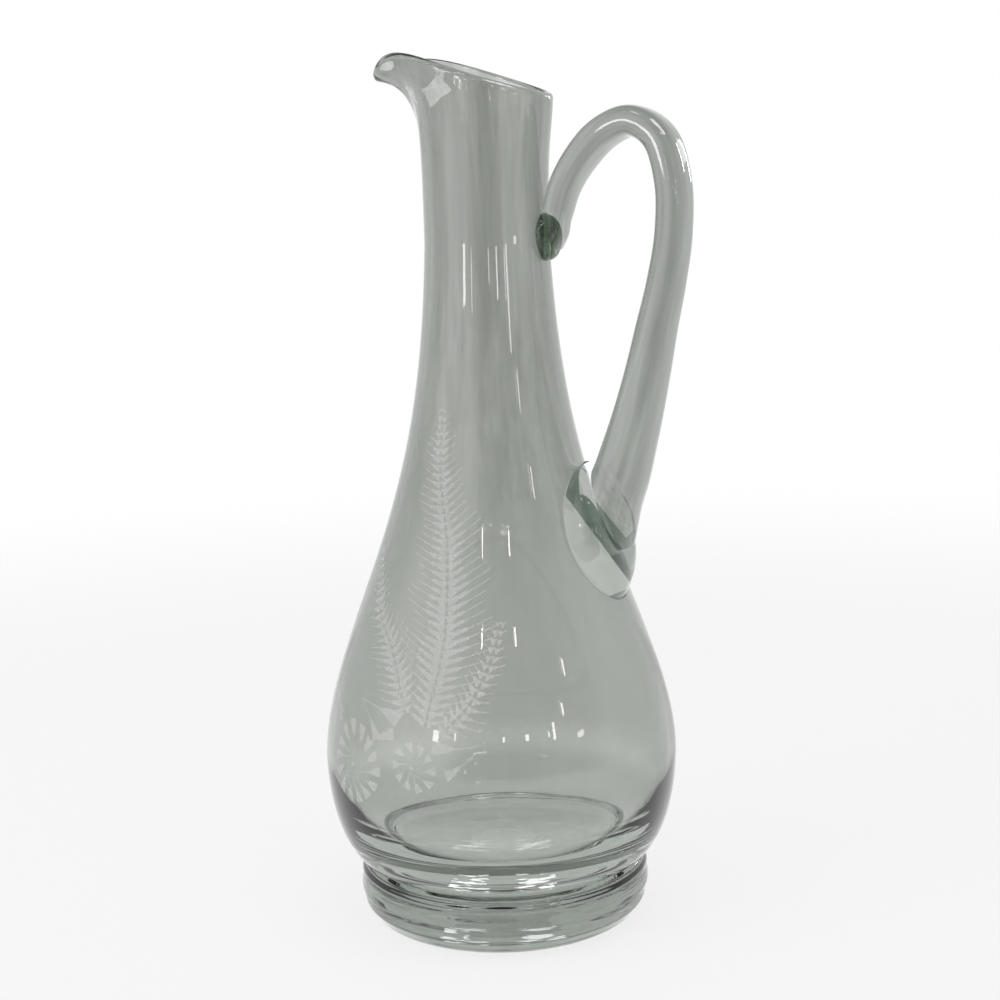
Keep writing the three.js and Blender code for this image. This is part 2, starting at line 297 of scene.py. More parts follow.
class Graph:
    """Adds nodes to a tree and joins them, so that a formula reads from left to right."""

    def __init__(self, tree):
        self.tree = tree

    def node(self, kind, inputs=None, **settings):
        node = self.tree.nodes.new(kind)
        for key, value in settings.items():
            setattr(node, key, value)
        for key, value in (inputs or {}).items():
            self.put(node.inputs[key], value)
        return node

    def put(self, socket, value):
        if isinstance(value, bpy.types.NodeSocket):
            self.tree.links.new(value, socket)
        else:
            socket.default_value = value

    def math(self, operation, *values, clamp=False):
        node = self.node("ShaderNodeMath", operation=operation, use_clamp=clamp)
        for socket, value in zip(node.inputs, values):
            self.put(socket, value)
        return node.outputs[0]

    def vector_math(self, operation, *values, scale=None):
        node = self.node("ShaderNodeVectorMath", operation=operation)
        for socket, value in zip(node.inputs, values):
            self.put(socket, value)
        if scale is not None:
            self.put(node.inputs["Scale"], scale)
        return node.outputs["Value" if operation in ("LENGTH", "DOT_PRODUCT") else "Vector"]

    def add(self, *values):
        total = values[0]
        for value in values[1:]:
            total = self.math("ADD", total, value)
        return total

    def times(self, *values):
        total = values[0]
        for value in values[1:]:
            total = self.math("MULTIPLY", total, value)
        return total

    def minus(self, a, b):
        return self.math("SUBTRACT", a, b)

    def over(self, a, b):
        return self.math("DIVIDE", a, b)

    def power(self, a, b):
        return self.math("POWER", a, b)

    def join(self, x, y, z):
        return self.node("ShaderNodeCombineXYZ", {0: x, 1: y, 2: z}).outputs[0]

    def split(self, vector):
        return self.node("ShaderNodeSeparateXYZ", {0: vector}).outputs

    def ramp(self, value, low, high, to_low=0.0, to_high=1.0, smooth=True):
        node = self.node("ShaderNodeMapRange", {
            "Value": value, "From Min": low, "From Max": high, "To Min": to_low,
            "To Max": to_high}, interpolation_type="SMOOTHSTEP" if smooth else "LINEAR")
        return node.outputs[0]

    def noise(self, vector, scale, detail=0.0, **more):
        inputs = {"Vector": vector, "Scale": scale, "Detail": detail, **more}
        return self.node("ShaderNodeTexNoise", inputs).outputs[0]

    def mix_colour(self, factor, a, b, blend="MIX"):
        node = self.node("ShaderNodeMix", data_type="RGBA", blend_type=blend)
        sockets = [s for s in node.inputs if s.enabled]
        for socket, value in zip(sockets, (factor, a, b)):
            self.put(socket, value)
        return next(s for s in node.outputs if s.enabled)

    def mix_shader(self, factor, a, b):
        return self.node("ShaderNodeMixShader", {0: factor, 1: a, 2: b}).outputs[0]

    def show(self, shader, kind="ShaderNodeOutputMaterial"):
        self.put(self.node(kind).inputs[0], shader)


def geometry_tree(name, floats=(), ints=(), materials=()):
    """A geometry node tree with a geometry input, named value inputs and one geometry output."""
    tree = bpy.data.node_groups.new(name, "GeometryNodeTree")
    tree.interface.new_socket("Geometry", in_out="INPUT", socket_type="NodeSocketGeometry")
    for keys, kind in ((floats, "Float"), (ints, "Int"), (materials, "Material")):
        for key in keys:
            tree.interface.new_socket(key, in_out="INPUT", socket_type=f"NodeSocket{kind}")
    tree.interface.new_socket("Geometry", in_out="OUTPUT", socket_type="NodeSocketGeometry")
    graph = Graph(tree)
    given = graph.node("NodeGroupInput").outputs
    return graph, {s.name: s for s in given if s.name}


def finish_tree(graph, geometry, *materials):
    """Realizes the instances, gives each (selection, material) and sends them out."""
    geometry = graph.node("GeometryNodeRealizeInstances", {"Geometry": geometry}).outputs[0]
    for selection, material in materials:
        geometry = graph.node("GeometryNodeSetMaterial", {
            "Geometry": geometry, "Selection": selection, "Material": material}).outputs[0]
    graph.show(geometry, "NodeGroupOutput")
    return graph.tree


def named(group, *keys):
    """Settings of a group, under the names of the sockets that take them."""
    return {key.replace("_", " ").capitalize(): getattr(group, key) for key in keys}


def grow(name, tree, start, values):
    """Runs a geometry tree on a start mesh and keeps what it makes as a plain mesh."""
    seed = bpy.data.objects.new(name, start)
    bpy.context.scene.collection.objects.link(seed)
    modifier = seed.modifiers.new("rule", "NODES")
    modifier.node_group = tree
    for item in tree.interface.items_tree:
        if item.in_out == "INPUT" and item.name in values:
            modifier[item.identifier] = values[item.name]
    bpy.context.view_layer.update()
    evaluated = seed.evaluated_get(bpy.context.evaluated_depsgraph_get())
    mesh = bpy.data.meshes.new_from_object(evaluated)
    mesh.name = name
    seed.modifiers.remove(modifier)
    seed.data = mesh
    if not mesh.polygons:
        raise RuntimeError(f"the rule made nothing for {name}")
    return seed


# Meshes

def mesh_of(name, places, faces, materials, slots=None):
    mesh = bpy.data.meshes.new(name)
    mesh.from_pydata([tuple(p) for p in places], [], faces)
    for material in materials:
        mesh.materials.append(material)
    if slots is not None:
        mesh.polygons.foreach_set("material_index", slots)
    mesh.update()
    return mesh


def new_object(name, mesh):
    thing = bpy.data.objects.new(name, mesh)
    bpy.context.scene.collection.objects.link(thing)
    return thing


@contextlib.contextmanager
def editing(mesh):
    """The mesh open for edits, which are written back at the end."""
    work = bmesh.new()
    work.from_mesh(mesh)
    yield work
    work.to_mesh(mesh)
    work.free()


def smooth(mesh, sharp_angle=math.radians(38)):
    """Shades a mesh smooth, but keeps its crisp edges crisp."""
    with editing(mesh) as work:
        for face in work.faces:
            face.smooth = True
        for edge in work.edges:
            edge.smooth = not edge.is_manifold or edge.calc_face_angle(0) < sharp_angle


def skin(first, rings, last):
    """Places and faces of a closed skin through rings of points, with a point at each end."""
    sides = len(rings[0])
    places = [first, *(p for ring in rings for p in ring), last]
    faces = []
    for side in range(sides):
        beside = (side + 1) % sides
        faces.append((0, 1 + beside, 1 + side))
        for ring in range(len(rings) - 1):
            low, high = 1 + ring * sides, 1 + (ring + 1) * sides
            faces.append((low + side, low + beside, high + beside, high + side))
        low = 1 + (len(rings) - 1) * sides
        faces.append((len(places) - 1, low + side, low + beside))
    return places, faces


def dress(thing, node):
    """Puts a finished piece in the place of a CAD node."""
    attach(thing, "root")
    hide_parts(node)


# Glass

def new_material(name):
    """A material with an empty tree, and the graph that fills it."""
    material = bpy.data.materials.new(name)
    material.use_nodes = True
    graph = Graph(material.node_tree)
    graph.tree.nodes.clear()
    return material, graph


def blown_surface():
    """Shader group: slow waves of blown glass, its faint cords and the smears of handling."""
    tree = bpy.data.node_groups.new("blown glass surface", "ShaderNodeTree")
    for key, default in (("Scale", 30.0), ("Stretch", 0.25), ("Roughness", SURFACE_ROUGHNESS),
                         ("Smear", 0.03), ("Cord depth", 0.12)):
        tree.interface.new_socket(
            key, in_out="INPUT", socket_type="NodeSocketFloat").default_value = default
    tree.interface.new_socket("Vector", in_out="INPUT", socket_type="NodeSocketVector")
    for key in ("Waves", "Roughness", "Cords"):
        tree.interface.new_socket(key, in_out="OUTPUT", socket_type="NodeSocketFloat")
    g = Graph(tree)
    given = g.node("NodeGroupInput").outputs
    x, y, z = g.split(given["Vector"])
    drawn = g.join(x, y, g.times(z, given["Stretch"]))
    slow = g.noise(drawn, given["Scale"], 1.0, Roughness=0.4)
    fine = g.noise(drawn, g.times(given["Scale"], FINE_WAVES))
    strands = g.noise(drawn, g.times(given["Scale"], STRANDS), 2.0)
    smears = g.ramp(g.noise(given["Vector"], SMEARS, 3.0), 0.56, 0.72)
    streaks = g.add(g.times(strands, 0.5), g.times(fine, 0.35), g.times(slow, 0.15))
    pale = g.ramp(streaks, 0.38, 0.62, -1.0, 0.6)
    g.node("NodeGroupOutput", {
        "Waves": g.add(slow, g.times(fine, 0.18)),
        "Roughness": g.add(given["Roughness"], g.times(smears, given["Smear"])),
        "Cords": g.add(1.0, g.times(pale, given["Cord depth"]))})
    return tree


def glass(name, tint, edge, waves, stretch=0.25, scale=30.0, ior=SURFACE_IOR, drawn=False,
          smear=0.015, roughness=SURFACE_ROUGHNESS, cord_depth=0.12, cords=None, lows=(),
          low_edge=None, marks=(), hole=None):
    """Clear glass that darkens where it is seen along its surface.

    drawn follows the strap. cords gives the heights between which the cords come up. lows are
    (from height, to height, tint) that show below, and low_edge is one for the edge. marks are
    (mask, tint) that show on the outside. hole is a mask where another piece is fused on, so that
    no surface shows.
    """
    material, g = new_material(name)
    place = g.node("ShaderNodeTexCoord").outputs["Object"]
    strap = g.node("ShaderNodeAttribute", attribute_name="strap").outputs["Vector"]
    surface = g.node("ShaderNodeGroup", node_tree=bpy.data.node_groups["blown glass surface"])
    for key, value in (("Vector", strap if drawn else place), ("Stretch", stretch),
                       ("Scale", scale), ("Roughness", roughness), ("Smear", smear),
                       ("Cord depth", cord_depth)):
        g.put(surface.inputs[key], value)
    bump = g.node("ShaderNodeBump", {
        "Strength": 1.0, "Distance": waves, "Height": surface.outputs["Waves"]}).outputs[0]
    facing = g.node("ShaderNodeLayerWeight", {"Blend": 0.5}).outputs["Facing"]
    outside = g.minus(1.0, g.node("ShaderNodeNewGeometry").outputs["Backfacing"])
    height = g.split(place)[2]

    def below(low, above):
        from_height, to_height, low_tint = low
        return g.mix_colour(g.ramp(height, from_height, to_height), (*low_tint, 1), above)

    shade, rim = (*tint, 1), (*edge, 1)
    for low in lows:
        shade = below(low, shade)
    if low_edge:
        rim = below(low_edge, rim)
    for mask, mark_tint in marks:
        shade = g.mix_colour(g.times(mask(g, place), outside), shade, (*mark_tint, 1))
    shade = g.mix_colour(g.times(g.power(facing, EDGE_POWER), outside), shade, rim)
    strength = g.ramp(height, *cords, 0.12, 1.0) if cords else 1.0
    shade = g.mix_colour(strength, shade, surface.outputs["Cords"], "MULTIPLY")
    body = g.node("ShaderNodeBsdfPrincipled", {
        "Base Color": shade, "Roughness": surface.outputs["Roughness"], "Normal": bump,
        "IOR": ior, "Transmission Weight": 1.0})
    if ior < SURFACE_IOR:
        for key, value in (("Coat Weight", outside), ("Coat IOR", SURFACE_IOR),
                           ("Coat Roughness", SURFACE_ROUGHNESS), ("Coat Normal", bump)):
            g.put(body.inputs[key], value)
    if hole:
        g.put(body.inputs["Alpha"], g.minus(1.0, hole(g, place)))
    passing = g.node("ShaderNodeBsdfTransparent", {"Color": (*tint, 1)}).outputs[0]
    lamps = g.node("ShaderNodeLightPath").outputs["Is Shadow Ray"]
    g.show(g.mix_shader(lamps, body.outputs[0], passing))
    return material


def beyond(ways, width):
    """A mask that is 1 where every (normal, offset) plane is passed, on both sides of the strap."""
    def mask(g, place):
        x, y, z = g.split(place)
        mirrored = g.join(x, g.math("ABSOLUTE", y), z)
        inside = 1.0
        for normal, offset in ways:
            far = g.vector_math("DOT_PRODUCT", mirrored, normal)
            inside = g.times(g.ramp(far, offset, offset + width), inside)
        return inside
    return mask


def under_oval(middle, out, up, half_length, half_width, least):
    """A mask that is 1 below an oval face, further out than least from its middle."""
    def mask(g, place):
        off = g.vector_math("SUBTRACT", place, tuple(middle))
        high = g.over(g.vector_math("DOT_PRODUCT", off, tuple(up)), half_length)
        wide = g.over(g.split(off)[1], half_width)
        far = g.add(g.times(high, high), g.times(wide, wide))
        front = g.math("GREATER_THAN", g.vector_math("DOT_PRODUCT", off, tuple(out)), least)
        return g.times(g.math("LESS_THAN", far, 1.0), front)
    return mask


def painted_shade_band_marks(tints, *tops):
    """The painted dark band of shade on the root below any of its tops: darker where no bowl stands
    behind it.
    """
    return [(beyond([top, BAND_FOOT, *side], BAND_BLUR), tint)
            for side, tint in (([], tints.painted_band_no_bowl), ([ROOT_SIDE], tints.band)) for top in tops]


def joined_glass(name):
    """The inside of a fused joint, where no surface shows."""
    material, g = new_material(name)
    g.show(g.node("ShaderNodeBsdfTransparent", {"Color": (1, 1, 1, 1)}).outputs[0])
    return material


# Shape of the blown body

def outer_radius(body, height):
    height = np.asarray(height, float)
    down = np.clip((body.belly_height - height) / (body.belly_height - body.base_height), 0, 1)
    bowl = body.seat_radius + (body.belly_radius - body.seat_radius) * np.sqrt(1 - down ** 2)
    rise = np.maximum(height - body.belly_height, 0) / body.shoulder_length
    shoulder = body.neck_radius + (body.belly_radius - body.neck_radius) * np.exp(
        -rise ** body.shoulder_power)
    return np.where(height < body.belly_height, bowl, shoulder)


def body_angles(body):
    even = np.arange(body.around) / body.around * 2 * math.pi
    return even - body.lip_bias * np.sin(even)


def round_ring(angles, radius, height):
    return np.stack([-radius * np.cos(angles), -radius * np.sin(angles),
                     np.full_like(angles, height)], 1)


def mouth_line(body, angles, part):
    """Outside of the mouth at one share of its line from the neck to the rim, and its normal."""
    off = np.abs(np.where(angles > math.pi, angles - 2 * math.pi, angles))
    beak = np.exp(-(off / body.lip_half_angle) ** body.lip_power)
    drop = body.lip_drop * np.exp(-(off / body.lip_drop_angle) ** 2)
    tilt = body.rim_tilt * (1 + np.cos(off)) / 2
    lean = body.flare + body.lip_turn * beak
    start = np.stack([np.full_like(off, float(outer_radius(body, body.mouth_start))),
                      np.full_like(off, body.mouth_start)], 1)
    rim = np.stack([body.rim_radius + body.lip_reach * beak, body.rim_back + tilt - drop], 1)
    pull = np.stack([start[:, 0], start[:, 1] + (rim[:, 1] - start[:, 1]) * body.pull], 1)
    turn = rim - body.lip_turn_length * np.stack([np.sin(lean), np.cos(lean)], 1)
    rest = 1 - part
    place = (rest ** 3 * start + 3 * rest ** 2 * part * pull
             + 3 * rest * part ** 2 * turn + part ** 3 * rim)
    along = (rest ** 2 * (pull - start) + 2 * rest * part * (turn - pull)
             + part ** 2 * (rim - turn))
    along /= np.linalg.norm(along, axis=1, keepdims=True)
    return place, np.stack([along[:, 1], -along[:, 0]], 1)


def mouth_ring(body, angles, part, depth):
    thickness = body.wall + (body.rim_thickness - body.wall) * part ** body.bead_power
    place, normal = mouth_line(body, angles, part)
    at = place - normal * thickness * depth
    return round_ring(angles, at[:, 0], at[:, 1])


def rim_ring(body, angles, turn):
    place, normal = mouth_line(body, angles, 1.0)
    along = np.stack([-normal[:, 1], normal[:, 0]], 1)
    at = (place - normal * body.rim_thickness * (1 - math.cos(turn)) / 2
          + along * body.rim_thickness * math.sin(turn) / 2)
    return round_ring(angles, at[:, 0], at[:, 1])


def shares(steps):
    return np.linspace(0, 1, steps + 1)


def blown_body(body):
    """Places and faces of the bubble: up the outside, over the rim and down the inside.

    The last number is the last place on the outside.
    """
    angles = body_angles(body)
    turns = shares(body.bowl_steps) * math.pi / 2
    bowl = [(body.seat_radius + (body.belly_radius - body.seat_radius) * math.sin(t),
             body.belly_height - (body.belly_height - body.base_height) * math.cos(t))
            for t in turns]
    inside = body.belly_radius - body.wall
    cavity = [(body.floor_radius + (inside - body.floor_radius) * math.sin(t),
               body.belly_height - (body.belly_height - body.floor_height) * math.cos(t))
              for t in turns]
    heights = (body.belly_height
               + shares(body.shoulder_steps)[1:-1] * (body.mouth_start - body.belly_height))
    rings = [round_ring(angles, r, z) for r, z in bowl]
    rings += [round_ring(angles, outer_radius(body, z), z) for z in heights]
    rings += [mouth_ring(body, angles, s, 0) for s in shares(body.mouth_steps)]
    rings += [rim_ring(body, angles, s * math.pi) for s in shares(body.rim_steps)[1:-1]]
    halfway = len(rings) * len(angles)
    rings += [mouth_ring(body, angles, s, 1) for s in shares(body.mouth_steps)[::-1]]
    rings += [round_ring(angles, outer_radius(body, z) - body.wall, z) for z in heights[::-1]]
    rings += [round_ring(angles, r, z) for r, z in reversed(cavity)]
    return *skin((0, 0, body.base_height), rings, (0, 0, body.floor_height)), halfway


class CARAFE_OT_blown_body(bpy.types.Operator):
    """Blows the body: pear-shaped bowl, long neck and sloping mouth with its pouring lip"""

    bl_idname = "carafe.blown_body"
    bl_label = "Blown body"

    def execute(self, context):
        body = context.scene.carafe_body
        pads = context.scene.carafe_pads
        tints = context.scene.carafe_glass
        seat, out, up = seat_on_body(body, pads.pad_height)
        # The bowl behind the lower pad gets a lighter tint, for the fused joint and as painted
        # light
        pressed_on = under_oval(seat, out, up, pads.pad_length / 2, pads.pad_width / 2, -0.01)
        clear = glass("clear blown glass", tints.clear, tints.edge, 0.00035, stretch=0.06,
                      cord_depth=0.16, cords=CORD_HEIGHTS,
                      lows=[(*BOWL_FADE, tints.bowl), (*BASE_FADE, tints.base)],
                      low_edge=(*EDGE_FADE, tints.low_edge),
                      marks=[(pressed_on, tints.fused_lit_under_pad)])
        inner = glass("inside of the blown glass", tints.inner, INNER_EDGE, 0.0003,
                      stretch=0.06, cords=CORD_HEIGHTS)
        joint = joined_glass("fused joint of the bowl")
        places, faces, halfway = blown_body(body)
        slots = [2 if min(face) == 0 else int(max(face) > halfway) for face in faces]
        mesh = mesh_of("blown_body_glass", places, faces, [clear, inner, joint], slots)
        smooth(mesh)
        dress(new_object("blown_body_glass", mesh), "blown_body")
        return {"FINISHED"}


# Foot

def foot_rule():
    """Geometry tree: a solid of revolution with a rolled side, on which the bowl sits."""
    g, given = geometry_tree(
        "foot rule", ints=("Rings", "Around", "Steps"), materials=("Glass", "Joint", "Ground"),
        floats=("Radius", "Contact radius", "Seat radius", "Roll height", "Height",
                "Shoulder power", "Punty radius", "Punty depth", "Ring depth"))
    drum = g.node("GeometryNodeMeshCylinder", {
        "Vertices": given["Around"], "Side Segments": given["Steps"], "Fill Segments": 24,
        "Radius": 1.0, "Depth": 2.0}, fill_type="TRIANGLE_FAN")
    x, y, z = g.split(g.node("GeometryNodeInputPosition").outputs[0])
    out = g.math("SQRT", g.add(g.times(x, x), g.times(y, y)))
    up = g.times(g.add(z, 1.0), 0.5)
    quarter = math.pi / 2
    low = g.times(g.math("MULTIPLY", up, 2.0, clamp=True), quarter)
    high = g.times(g.math("SUBTRACT", g.times(up, 2.0), 1.0, clamp=True), quarter)
    bend = g.over(2.0, given["Shoulder power"])
    radius = g.add(
        given["Contact radius"],
        g.times(g.minus(given["Radius"], given["Contact radius"]), g.math("SINE", low)),
        g.times(g.minus(given["Radius"], given["Seat radius"]),
                g.minus(g.power(g.math("COSINE", high), bend), 1.0)))
    wave = g.minus(1.0, g.math("COSINE", g.times(up, given["Rings"], 2 * math.pi)))
    radius = g.minus(radius, g.times(given["Ring depth"], 0.5, wave))
    height = g.add(
        g.times(given["Roll height"], g.minus(1.0, g.math("COSINE", low))),
        g.times(g.minus(given["Height"], given["Roll height"]),
                g.power(g.math("SINE", high), bend)))
    hollow = g.math("MAXIMUM", g.minus(1.0, g.power(
        g.over(g.times(out, given["Contact radius"]), given["Punty radius"]), 2.0)), 0.0)
    dimple = g.times(given["Punty depth"], hollow, g.math("LESS_THAN", up, 0.001))
    placed = g.node("GeometryNodeSetPosition", {
        "Geometry": drum.outputs["Mesh"],
        "Position": g.join(g.times(x, radius), g.times(y, radius), g.add(height, dimple))})
    across, deep, level = g.split(g.node("GeometryNodeInputPosition").outputs[0])
    near = g.math("LESS_THAN", g.add(g.times(across, across), g.times(deep, deep)),
                  g.times(given["Punty radius"], given["Punty radius"]))
    punty = g.times(near, g.math("LESS_THAN", level, 0.001))
    return finish_tree(g, placed.outputs[0], (True, given["Glass"]),
                       (drum.outputs["Top"], given["Joint"]), (punty, given["Ground"]))


class CARAFE_OT_foot(bpy.types.Operator):
    """Casts the thick round foot below the bowl"""

    bl_idname = "carafe.foot"
    bl_label = "Foot"

    def execute(self, context):
        foot = context.scene.carafe_foot
        body = context.scene.carafe_body
        tints = context.scene.carafe_glass
        thick = glass("thick foot glass", tints.thick, tints.foot_edge, 0.0006, stretch=4.0)
        joint = joined_glass("fused joint of the foot")
        ground = glass("ground punty", (0.45, 0.48, 0.45), tints.edge, 0.0001, scale=900.0,
                       roughness=0.4)
        thing = grow("foot_glass", foot_rule(), bpy.data.meshes.new("foot_start"), {
            **named(foot, "radius", "contact_radius", "roll_height", "shoulder_power",
                    "punty_radius", "punty_depth", "rings", "ring_depth", "around", "steps"),
            **named(body, "seat_radius"), "Height": body.base_height - JOINT_GAP,
            "Glass": thick, "Joint": joint, "Ground": ground})
        smooth(thing.data)
        dress(thing, "foot")
        return {"FINISHED"}


# Handle and its pads

def seat_on_body(body, height):
    """Where a pad sits on the body: its place, the way out and the way up along the glass."""
    step = 0.0003
    rise = outer_radius(body, height + step) - outer_radius(body, height - step)
    slope = float(rise) / (2 * step)
    out = Vector((1, 0, -slope)).normalized()
    up = Vector((slope, 0, 1)).normalized()
    return Vector((float(outer_radius(body, height)), 0, height)), out, up


def strap_path(body, handle, pads):
    """Middle line of the strap, from its snipped tail over the arch and down to its root."""
    tail, _, _ = seat_on_body(body, pads.seal_height)
    seat, out, up = seat_on_body(body, pads.pad_height)
    root = seat + out * pads.pad_thickness + up * pads.root_offset
    knots = [Vector((tail.x + a * (handle.reach - tail.x), 0,
                     pads.seal_height + b * (handle.top - pads.seal_height)))
             for a, b in ARCH_SHARES]
    knots += [Vector((root.x + a * (handle.reach - root.x), 0,
                      root.z + b * (handle.top - root.z))) for a, b in ARM_SHARES]
    return centripetal(knots, 24)


def centripetal(knots, steps):
    """A centripetal Catmull-Rom line through the knots."""
    ends = [knots[0] * 2 - knots[1], *knots, knots[-1] * 2 - knots[-2]]
    line = []
    for a, b, c, d in zip(ends, ends[1:], ends[2:], ends[3:]):
        t0 = 0.0
        t1 = t0 + (b - a).length ** 0.5
        t2 = t1 + (c - b).length ** 0.5
        t3 = t2 + (d - c).length ** 0.5
        for i in range(steps):
            t = t1 + (t2 - t1) * i / steps
            ab = a.lerp(b, (t - t0) / (t1 - t0))
            bc = b.lerp(c, (t - t1) / (t2 - t1))
            cd = c.lerp(d, (t - t2) / (t3 - t2))
            abc = ab.lerp(bc, (t - t0) / (t2 - t0))
            bcd = bc.lerp(cd, (t - t1) / (t3 - t1))
            line.append(abc.lerp(bcd, (t - t1) / (t2 - t1)))
    return [*line, knots[-1]]


def strap_rule():
    """Geometry tree: a strap of rounded, softly ridged section drawn along the start line."""
    g, given = geometry_tree(
        "strap rule", ints=("Ridges", "Sides", "Steps"), materials=("Glass",),
        floats=("Tail width", "Tail thickness", "Strap width", "Strap thickness", "Root width",
                "Root thickness", "Tail cap", "Ridge", "Length"))
    line = g.node("GeometryNodeMeshToCurve", {0: given["Geometry"]}).outputs[0]
    drum = g.node("GeometryNodeMeshCylinder", {
        "Vertices": given["Sides"], "Side Segments": given["Steps"], "Fill Segments": 8,
        "Radius": 1.0, "Depth": 2.0}, fill_type="TRIANGLE_FAN")
    x, y, z = g.split(g.node("GeometryNodeInputPosition").outputs[0])
    out = g.math("SQRT", g.add(g.times(x, x), g.times(y, y)))
    part = g.times(g.add(z, 1.0), 0.5)
    at = g.node("GeometryNodeSampleCurve", {"Curves": line, "Factor": part},
                mode="FACTOR")
    full = g.ramp(part, 0.0, 0.22)
    growth = g.power(g.math("MAXIMUM", g.over(g.minus(part, 0.4), 0.6), 0.0), 2.0)

    def sized(kind):
        tail, strap, root = (given[f"{where} {kind}"] for where in ("Tail", "Strap", "Root"))
        return g.add(tail, g.times(g.minus(strap, tail), full),
                     g.times(g.minus(root, strap), growth))

    bend = g.over(2.0, g.minus(3.0, g.times(growth, 0.8)))
    safe = g.math("MAXIMUM", out, 0.000001)

    def squared(value):
        unit = g.over(value, safe)
        return g.times(g.math("SIGN", unit), g.power(g.math("ABSOLUTE", unit), bend))

    tail_end = g.math("LESS_THAN", part, 0.0001)
    swell = g.math("SINE", g.times(out, math.pi / 2))
    reach = g.add(g.times(swell, tail_end), g.times(out, g.minus(1.0, tail_end)))
    turn = g.math("ARCTAN2", y, x)
    groove = g.times(g.minus(g.math("COSINE", g.times(turn, given["Ridges"])), 1.0), 0.5)
    ridge = g.times(given["Ridge"], groove, g.ramp(part, 0.05, 0.2), reach)
    across = g.times(squared(x), reach, g.over(sized("width"), 2.0))
    rise = g.times(squared(y), reach, g.over(sized("thickness"), 2.0))
    side = g.join(0.0, 1.0, 0.0)
    away = g.vector_math("CROSS_PRODUCT", at.outputs["Tangent"], side)
    round_cap = g.times(given["Tail cap"], tail_end,
                        g.math("COSINE", g.times(out, math.pi / 2)))
    place = at.outputs["Position"]
    for way, how_far in ((side, g.add(across, g.times(g.over(x, safe), ridge))),
                         (away, g.add(rise, g.times(g.over(y, safe), ridge))),
                         (at.outputs["Tangent"], g.times(round_cap, -1.0))):
        place = g.vector_math("ADD", place, g.vector_math("SCALE", way, scale=how_far))
    marked = g.node("GeometryNodeStoreNamedAttribute", {
        "Geometry": drum.outputs["Mesh"], "Name": "strap",
        "Value": g.join(across, rise, g.times(part, given["Length"]))},
        data_type="FLOAT_VECTOR", domain="POINT").outputs[0]
    placed = g.node("GeometryNodeSetPosition", {
        "Geometry": marked, "Position": place}).outputs[0]
    return finish_tree(g, placed, (True, given["Glass"]))


def cut_flat(work, place, out):
    """Cuts away what lies behind a plane and closes the cut with a flat joint face."""
    bmesh.ops.bisect_plane(
        work, geom=[*work.verts, *work.edges, *work.faces], dist=SAME_PLACE,
        plane_co=place, plane_no=out, clear_inner=True)
    open_edges = [e for e in work.edges if e.is_boundary]
    bmesh.ops.edgeloop_fill(work, edges=open_edges, mat_nr=1)


def cut_step(work, place, out, up, tail):
    """Cuts a step from the tail: what lies behind one plane and below the other."""
    def part_of(faces):
        faces = set(faces)
        edges = {e for f in faces for e in f.edges}
        return [*{v for f in faces for v in f.verts}, *edges, *faces]

    def below(face):
        return (face.calc_center_median() - place).dot(up) < 0

    near = [f for f in work.faces if tail(f)]
    bmesh.ops.bisect_plane(work, geom=part_of(near), dist=SAME_PLACE, plane_co=place, plane_no=up)
    low = [f for f in work.faces if tail(f) and below(f)]
    bmesh.ops.bisect_plane(work, geom=part_of(low), dist=SAME_PLACE, plane_co=place, plane_no=out)
    gone = [f for f in work.faces if tail(f) and below(f)
            and (f.calc_center_median() - place).dot(out) < 0]
    bmesh.ops.delete(work, geom=gone, context="FACES")

    def on(vertex, way):
        return abs((vertex.co - place).dot(way)) < ON_PLANE

    rim = [e for e in work.edges if e.is_boundary]
    corners = [v for v in {v for e in rim for v in e.verts} if on(v, out) and on(v, up)]
    if len(corners) != 2:
        raise RuntimeError(f"the tail's step has {len(corners)} corners instead of 2")
    corner = work.edges.new(corners)
    for way in (out, up):
        loop = [e for e in rim if on(e.verts[0], way) and on(e.verts[1], way)]
        bmesh.ops.edgeloop_fill(work, edges=[*loop, corner], mat_nr=1)


class CARAFE_OT_handle(bpy.types.Operator):
    """Draws the strap handle from its root on the pad to its snipped tail on the neck"""

    bl_idname = "carafe.handle"
    bl_label = "Handle"

    def execute(self, context):
        scene = context.scene
        body, handle, pads = scene.carafe_body, scene.carafe_handle, scene.carafe_pads
        tints = scene.carafe_glass
        # The band marks paint the dark band of shade on the strap's root
        drawn = glass("drawn handle glass", tints.drawn, tints.edge, 0.0003, stretch=0.06,
                      ior=LOW_IOR, drawn=True, cord_depth=0.27, marks=[
                          (beyond([ROOT_SIDE], 0.004), tints.root),
                          *painted_shade_band_marks(tints, BAND_TOP, ROOT_END)])
        line = strap_path(body, handle, pads)
        run = sum((b - a).length for a, b in zip(line, line[1:]))
        start = bpy.data.meshes.new("strap_line")
        start.from_pydata(line, [(i, i + 1) for i in range(len(line) - 1)], [])
        thing = grow("handle_glass", strap_rule(), start, {
            **named(handle, "tail_width", "tail_thickness", "strap_width", "strap_thickness",
                    "root_width", "root_thickness", "tail_cap", "ridge", "ridges", "sides",
                    "steps"),
            "Length": run, "Glass": drawn})
        thing.data.materials.append(joined_glass("fused joint of the handle"))
        with editing(thing.data) as work:
            bmesh.ops.remove_doubles(work, verts=work.verts, dist=SAME_PLACE)
            seat, out, _ = seat_on_body(body, pads.pad_height)
            cut_flat(work, seat + out * (pads.pad_thickness + pads.gap), out)
            seat, out, up = seat_on_body(body, pads.seal_height)
            corner = (seat + out * (pads.seal_thickness + pads.gap)
                      + up * (pads.seal_length / 2 + pads.gap))
            arch_end = seat.x + (handle.reach - seat.x) / 3
            cut_step(work, corner, out, up,
                     lambda face: face.calc_center_median().x < arch_end
                     and face.calc_center_median().z > seat.z - pads.seal_length)
            bmesh.ops.recalc_face_normals(work, faces=work.faces)
        smooth(thing.data)
        dress(thing, "handle")
        return {"FINISHED"}


